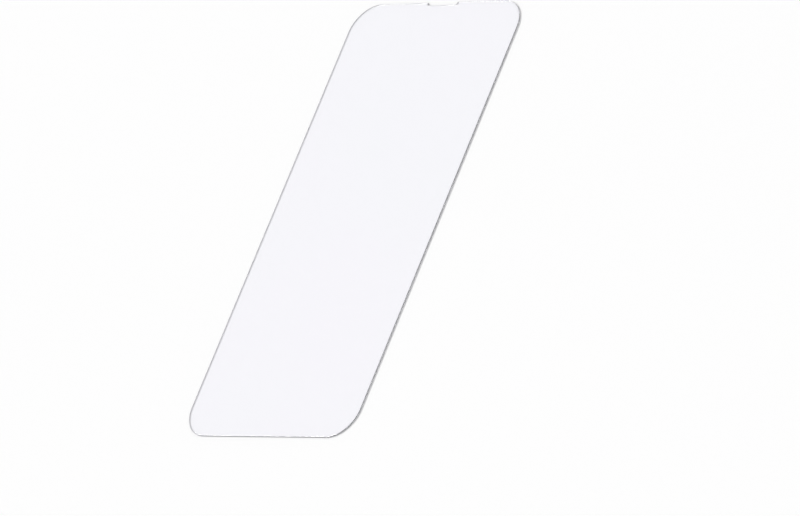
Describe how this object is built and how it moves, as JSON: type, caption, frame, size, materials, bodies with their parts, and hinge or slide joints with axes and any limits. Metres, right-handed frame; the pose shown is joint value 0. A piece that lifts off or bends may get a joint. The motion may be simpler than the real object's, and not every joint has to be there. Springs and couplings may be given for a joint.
{
  "type": "phone screen protector",
  "caption": "Flat rectangular glass sheet with rounded corners, a ground rim and a shallow earpiece notch, stuck over a phone's screen to guard it from scratches and knocks.",
  "frame": {"origin": "centre of the under face, the side that sticks to the screen", "axes": "+Y along the sheet towards the earpiece notch, +Z out of the front face, +X to the right as the user of the phone sees it"},
  "size_m": [0.0676, 0.1424, 0.0005],
  "materials": {
    "glass": "clear polished tempered glass with a faint cool tint, and a fine-ground frosted rim"
  },
  "bodies": {
    "root": {"glass_sheet": "glass"}
  },
  "joints": []
}
